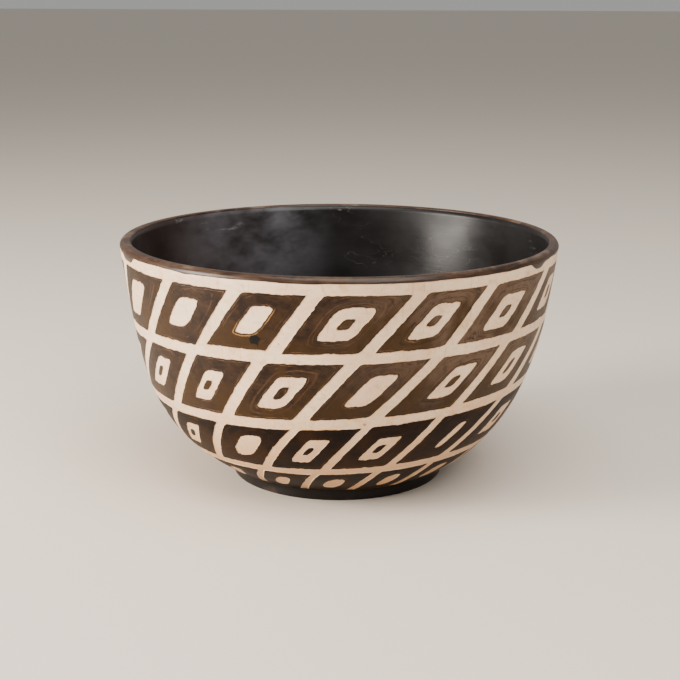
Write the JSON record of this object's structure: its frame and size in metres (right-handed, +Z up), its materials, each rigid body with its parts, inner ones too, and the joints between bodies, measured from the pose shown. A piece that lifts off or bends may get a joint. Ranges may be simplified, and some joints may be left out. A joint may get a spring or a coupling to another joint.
{
  "type": "bowl",
  "caption": "Round carved wooden bowl on a low foot, black inside, with rows of brown lozenges on a pale outer wall.",
  "frame": {"origin": "middle of the standing face under the foot", "axes": "+Z up along the bowl's axis, -Y towards the front"},
  "size_m": [0.2808, 0.2808, 0.1559],
  "materials": {
    "bare_wood": "matte",
    "black_polish": "satin",
    "rim_stain": "satin",
    "black_foot": "satin",
    "pale_ground": "satin",
    "brown_stain": "satin",
    "dark_stain": "satin"
  },
  "bodies": {
    "root": {"carved_bowl": "bare_wood", "black_lining": "black_polish", "rim_band": "rim_stain", "foot_band": "black_foot", "white_ground": "pale_ground", "row_1_frames": "brown_stain", "row_2_frames": "brown_stain", "row_3_frames": "dark_stain", "row_4_frames": "dark_stain", "row_1_dots": "brown_stain", "row_2_dots": "brown_stain", "row_3_dots": "dark_stain"}
  },
  "joints": []
}
